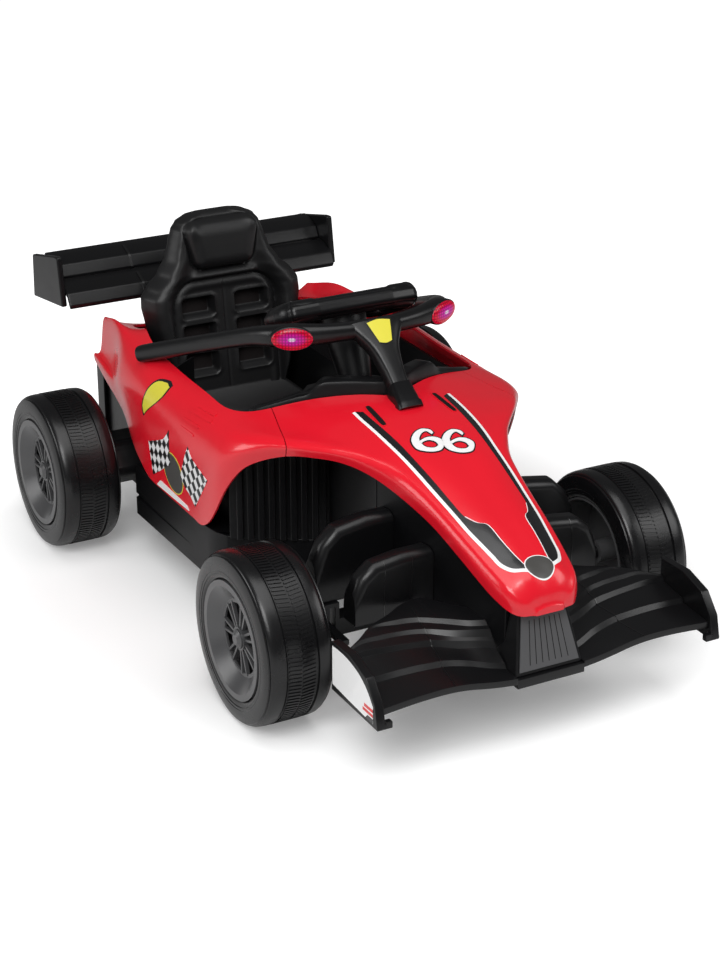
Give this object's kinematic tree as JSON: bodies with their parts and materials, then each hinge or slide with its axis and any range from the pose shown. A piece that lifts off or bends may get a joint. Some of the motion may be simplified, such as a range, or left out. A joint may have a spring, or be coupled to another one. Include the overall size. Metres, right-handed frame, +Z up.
{
  "type": "electric ride-on car",
  "caption": "Child's electric ride-on racing car with open wheels, front and rear wings, a halo bar, a bucket seat and a steering wheel that turns the front wheels.",
  "frame": {"origin": "on the ground, on the centre plane, half way between the tip of the front wing and the trailing edge of the rear wing", "axes": "+X to the driver's left, +Y towards the rear wing, +Z up; the car faces -Y"},
  "size_m": [0.746, 1.26, 0.4864],
  "materials": {
    "red_plastic": "gloss",
    "black_plastic": "satin",
    "grille_grey": "satin",
    "red_button": "gloss",
    "yellow_button": "gloss",
    "lens_pink": "gloss",
    "steel": "brushed",
    "nylon_gear": "matte",
    "motor_can": "satin",
    "tyre_plastic": "satin",
    "rim_plastic": "satin"
  },
  "bodies": {
    "chassis": {"battery": "black_plastic", "body_shell": "red_plastic", "charge_socket": "black_plastic", "chassis_tub": "black_plastic", "control_box": "black_plastic", "dash_panel": "black_plastic", "front_beam": "steel", "front_fairing_left": "black_plastic", "front_fairing_right": "black_plastic", "front_wing": "black_plastic", "gearboxes": "black_plastic", "halo": "black_plastic", "halo_lenses": "lens_pink", "headrest_pad": "black_plastic", "motors": "motor_can", "nose_box": "black_plastic", "nose_cover": "red_plastic", "nose_pylon": "black_plastic", "pedal_base": "black_plastic", "pylon_grille": "grille_grey", "radiators": "black_plastic", "rear_axle": "steel", "rear_bulkhead_left": "black_plastic", "rear_bulkhead_right": "black_plastic", "rear_endplate_left": "black_plastic", "rear_endplate_right": "black_plastic", "rear_wing_flap": "black_plastic", "rear_wing_main": "black_plastic", "rear_wing_posts": "black_plastic", "seat_shell": "black_plastic", "side_sill_left": "black_plastic", "side_sill_right": "black_plastic", "tail_panel": "black_plastic", "wing_endplate_left": "black_plastic", "wing_endplate_right": "black_plastic"},
    "steering": {"steering_wheel": "black_plastic", "steering_column": "steel", "steering_boss": "black_plastic"},
    "horn_button": {"horn_button": "red_button"},
    "music_button": {"music_button": "yellow_button"},
    "tie_rod": {"tie_rod": "steel"},
    "knuckle_left": {"knuckle_left": "steel"},
    "knuckle_right": {"knuckle_right": "steel"},
    "wheel_front_left": {"tyre_front_left": "tyre_plastic", "rim_front_left": "rim_plastic"},
    "wheel_front_right": {"tyre_front_right": "tyre_plastic", "rim_front_right": "rim_plastic"},
    "wheel_rear_left": {"tyre_rear_left": "tyre_plastic", "rim_rear_left": "rim_plastic", "output_gear_left": "nylon_gear"},
    "cluster_left": {"cluster_gear_left": "nylon_gear"},
    "pinion_left": {"motor_pinion_left": "steel"},
    "wheel_rear_right": {"tyre_rear_right": "tyre_plastic", "rim_rear_right": "rim_plastic", "output_gear_right": "nylon_gear"},
    "cluster_right": {"cluster_gear_right": "nylon_gear"},
    "pinion_right": {"motor_pinion_right": "steel"},
    "pedal": {"foot_pedal": "black_plastic"},
    "power_button": {"power_button": "red_button"},
    "direction_rocker": {"direction_rocker": "black_plastic"}
  },
  "joints": [
    {"name": "steering_turn", "type": "hinge", "parent": "chassis", "child": "steering", "pos_m": [0, -0.01483, 0.452], "axis": [0, 0.454, 0.891], "range_deg": [-28, 28]},
    {"name": "horn_button_press", "type": "slide", "parent": "steering", "child": "horn_button", "axis": [0, -0.454, -0.891], "range_m": [0, 0.0025], "stiffness_N_per_m": 400, "springref_m": -0.001},
    {"name": "music_button_press", "type": "slide", "parent": "steering", "child": "music_button", "axis": [0, -0.454, -0.891], "range_m": [0, 0.0025], "stiffness_N_per_m": 400, "springref_m": -0.001},
    {"name": "tie_rod_slide", "type": "slide", "parent": "chassis", "child": "tie_rod", "axis": [1, 0, 0], "range_m": [-0.0262, 0.0262]},
    {"name": "knuckle_left_turn", "type": "hinge", "parent": "chassis", "child": "knuckle_left", "pos_m": [0.205, -0.337, 0.125], "axis": [0, 0, 1], "range_deg": [-20.5, 20.5]},
    {"name": "wheel_front_left_spin", "type": "hinge", "parent": "knuckle_left", "child": "wheel_front_left", "pos_m": [0.2915, -0.337, 0.125], "axis": [1, 0, 0], "continuous": true},
    {"name": "wheel_rear_left_spin", "type": "hinge", "parent": "chassis", "child": "wheel_rear_left", "pos_m": [0.322, 0.337, 0.125], "axis": [1, 0, 0], "continuous": true},
    {"name": "cluster_left_spin", "type": "hinge", "parent": "chassis", "child": "cluster_left", "pos_m": [0.21, 0.29471, 0.14039], "axis": [1, 0, 0], "continuous": true},
    {"name": "pinion_left_spin", "type": "hinge", "parent": "chassis", "child": "pinion_left", "pos_m": [0.21, 0.26394, 0.13496], "axis": [1, 0, 0], "continuous": true},
    {"name": "knuckle_right_turn", "type": "hinge", "parent": "chassis", "child": "knuckle_right", "pos_m": [-0.205, -0.337, 0.125], "axis": [0, 0, 1], "range_deg": [-20.5, 20.5]},
    {"name": "wheel_front_right_spin", "type": "hinge", "parent": "knuckle_right", "child": "wheel_front_right", "pos_m": [-0.2915, -0.337, 0.125], "axis": [1, 0, 0], "continuous": true},
    {"name": "wheel_rear_right_spin", "type": "hinge", "parent": "chassis", "child": "wheel_rear_right", "pos_m": [-0.322, 0.337, 0.125], "axis": [1, 0, 0], "continuous": true},
    {"name": "cluster_right_spin", "type": "hinge", "parent": "chassis", "child": "cluster_right", "pos_m": [-0.21, 0.29471, 0.14039], "axis": [1, 0, 0], "continuous": true},
    {"name": "pinion_right_spin", "type": "hinge", "parent": "chassis", "child": "pinion_right", "pos_m": [-0.21, 0.26394, 0.13496], "axis": [1, 0, 0], "continuous": true},
    {"name": "pedal_press", "type": "hinge", "parent": "chassis", "child": "pedal", "pos_m": [-0.046, -0.18535, 0.1213], "axis": [1, 0, 0], "range_deg": [0, 14], "stiffness_Nm_per_rad": 2, "springref_deg": -14.32},
    {"name": "power_button_press", "type": "slide", "parent": "chassis", "child": "power_button", "axis": [0, 0, -1], "range_m": [0, 0.003], "stiffness_N_per_m": 500, "springref_m": -0.001},
    {"name": "direction_rocker_tilt", "type": "hinge", "parent": "chassis", "child": "direction_rocker", "pos_m": [-0.092, -0.05729, 0.3305], "axis": [1, 0, 0], "range_deg": [-7, 7]}
  ],
  "couplings": [
    {"joint": "tie_rod_slide", "follows": "steering_turn", "m_per_rad": 0.052837},
    {"joint": "knuckle_left_turn", "follows": "steering_turn", "ratio": 0.71921},
    {"joint": "cluster_left_spin", "follows": "wheel_rear_left_spin", "ratio": -4},
    {"joint": "pinion_left_spin", "follows": "wheel_rear_left_spin", "ratio": 16},
    {"joint": "knuckle_right_turn", "follows": "steering_turn", "ratio": 0.71921},
    {"joint": "cluster_right_spin", "follows": "wheel_rear_right_spin", "ratio": -4},
    {"joint": "pinion_right_spin", "follows": "wheel_rear_right_spin", "ratio": 16}
  ]
}
